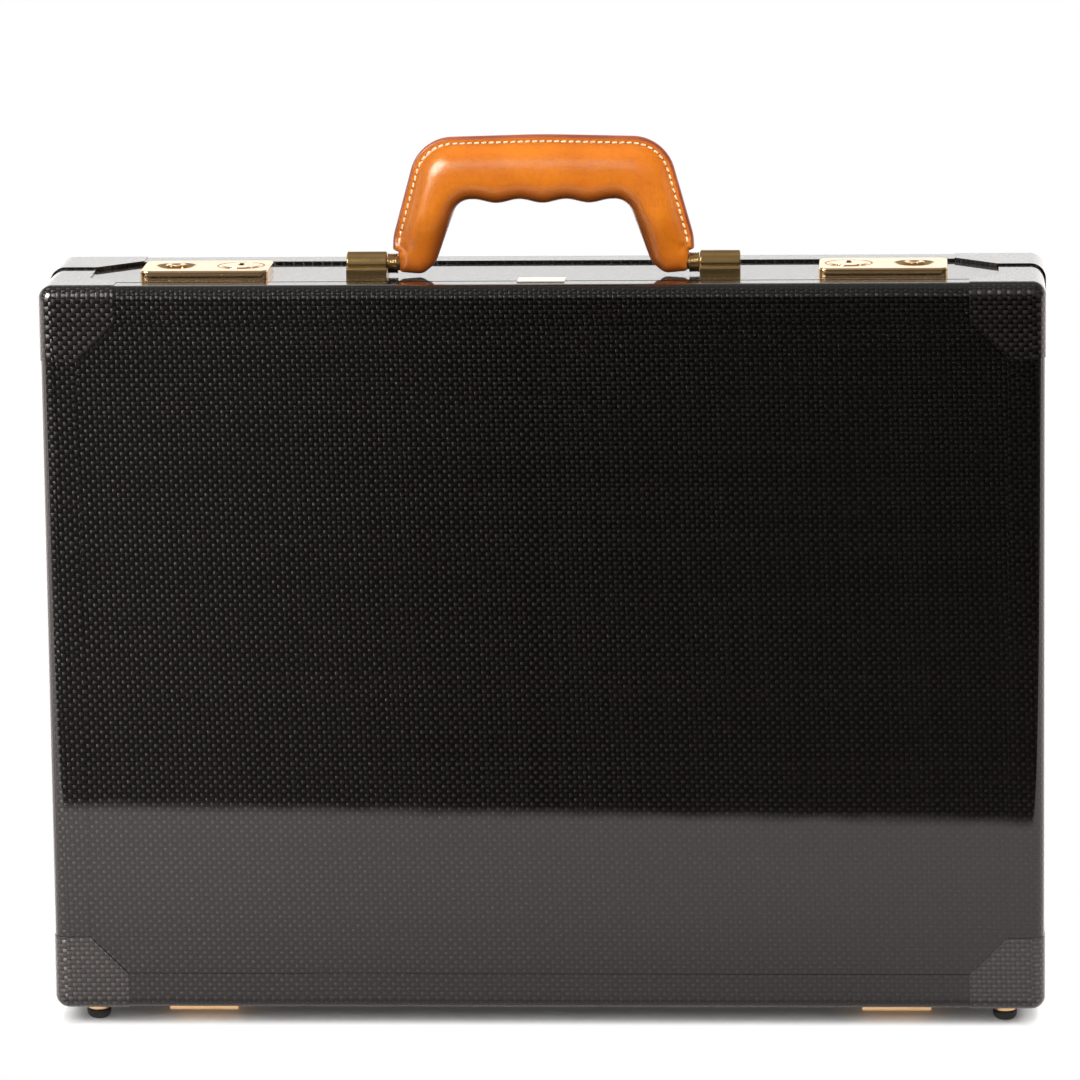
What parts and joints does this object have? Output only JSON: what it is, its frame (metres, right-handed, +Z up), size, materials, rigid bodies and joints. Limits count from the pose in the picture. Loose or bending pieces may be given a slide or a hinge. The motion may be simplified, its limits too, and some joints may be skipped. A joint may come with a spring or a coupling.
{
  "type": "attache case",
  "caption": "Slim hard attache case in glossy woven carbon with corner caps, gold locks, a stitched tan leather handle, hinged lid and leather-lined inside.",
  "frame": {"origin": "on the ground below the middle of the standing case", "axes": "+X along the width, +Y from the front shell (base) to the back shell (lid), +Z up towards the handle"},
  "size_m": [0.4232, 0.0896, 0.378],
  "materials": {
    "carbon_gloss": "clear-coated woven carbon fibre, near black",
    "gold_plate": "polished pale gold plating",
    "bracket_brass": "satin aged brass",
    "saddle_leather": "smooth tan bridle leather with burnished edge",
    "lining_leather": "tan lining leather",
    "black_aluminium": "black anodised",
    "steel": "zinc-plated steel",
    "spring_steel": "spring steel",
    "foot_rubber": "dark rubber"
  },
  "bodies": {
    "base": {"base_cap_bottom_left": "carbon_gloss", "base_cap_bottom_right": "carbon_gloss", "base_cap_top_left": "carbon_gloss", "base_cap_top_right": "carbon_gloss", "base_edge_band": "carbon_gloss", "base_foot_cups": "gold_plate", "base_foot_pads": "foot_rubber", "base_foot_screws": "steel", "base_lining": "lining_leather", "base_rim_frame": "black_aluminium", "base_shell": "carbon_gloss", "handle_bracket_left": "bracket_brass", "handle_bracket_right": "bracket_brass", "handle_bracket_screws": "steel", "handle_pins": "steel", "handle_stiffener": "steel", "hinge_base_leaf_left": "gold_plate", "hinge_base_leaf_right": "gold_plate", "hinge_base_rivets": "gold_plate", "hinge_pins": "gold_plate", "latch_strip_left": "spring_steel", "latch_strip_right": "spring_steel", "lock_backing_plates": "steel", "lock_plate_left": "gold_plate", "lock_plate_right": "gold_plate", "lock_screws": "steel", "name_plate": "gold_plate", "stay_base_studs": "gold_plate"},
    "lid": {"document_pocket": "lining_leather", "hinge_lid_leaf_left": "gold_plate", "hinge_lid_leaf_right": "gold_plate", "hinge_lid_rivets": "gold_plate", "keeper_left": "gold_plate", "keeper_right": "gold_plate", "keeper_screws": "steel", "lid_cap_bottom_left": "carbon_gloss", "lid_cap_bottom_right": "carbon_gloss", "lid_cap_top_left": "carbon_gloss", "lid_cap_top_right": "carbon_gloss", "lid_edge_band": "carbon_gloss", "lid_foot_cups": "gold_plate", "lid_foot_pads": "foot_rubber", "lid_foot_screws": "steel", "lid_lining": "lining_leather", "lid_rim_frame": "black_aluminium", "lid_shell": "carbon_gloss", "pen_loops": "lining_leather", "stay_lid_studs": "gold_plate"},
    "handle": {"handle_leather": "saddle_leather", "handle_core": "steel", "handle_ferrules": "bracket_brass"},
    "button_left": {"release_button_left": "gold_plate"},
    "key_left": {"key_cylinder_left": "gold_plate", "key_cam_left": "steel"},
    "stay_left": {"stay_arm_left": "gold_plate"},
    "button_right": {"release_button_right": "gold_plate"},
    "key_right": {"key_cylinder_right": "gold_plate", "key_cam_right": "steel"},
    "stay_right": {"stay_arm_right": "gold_plate"}
  },
  "joints": [
    {"name": "lid_hinge", "type": "hinge", "parent": "base", "child": "lid", "pos_m": [0, 0.007, 0.0043], "axis": [-1, 0, 0], "range_deg": [0, 100]},
    {"name": "handle_fold", "type": "hinge", "parent": "base", "child": "handle", "pos_m": [0, -0.01, 0.3237], "axis": [1, 0, 0], "range_deg": [-75, 75]},
    {"name": "release_button_left", "type": "slide", "parent": "base", "child": "button_left", "axis": [0, 0, -1], "range_m": [0, 0.002], "stiffness_N_per_m": 1500, "deforming": ["latch_strip_left"]},
    {"name": "key_turn_left", "type": "hinge", "parent": "base", "child": "key_left", "pos_m": [-0.1285, -0.00575, 0.3185], "axis": [0, 0, -1], "range_deg": [0, 90]},
    {"name": "stay_swing_left", "type": "hinge", "parent": "lid", "child": "stay_left", "pos_m": [-0.2006, 0.01329, 0.02953], "axis": [-1, 0, 0], "range_deg": [-50, 0]},
    {"name": "release_button_right", "type": "slide", "parent": "base", "child": "button_right", "axis": [0, 0, -1], "range_m": [0, 0.002], "stiffness_N_per_m": 1500, "deforming": ["latch_strip_right"]},
    {"name": "key_turn_right", "type": "hinge", "parent": "base", "child": "key_right", "pos_m": [0.1285, -0.00575, 0.3185], "axis": [0, 0, 1], "range_deg": [0, 90]},
    {"name": "stay_swing_right", "type": "hinge", "parent": "lid", "child": "stay_right", "pos_m": [0.2006, 0.01329, 0.02953], "axis": [-1, 0, 0], "range_deg": [-50, 0]}
  ],
  "couplings": [
    {"joint": "stay_swing_left", "follows": "lid_hinge", "ratio": -0.5},
    {"joint": "stay_swing_right", "follows": "lid_hinge", "ratio": -0.5}
  ]
}
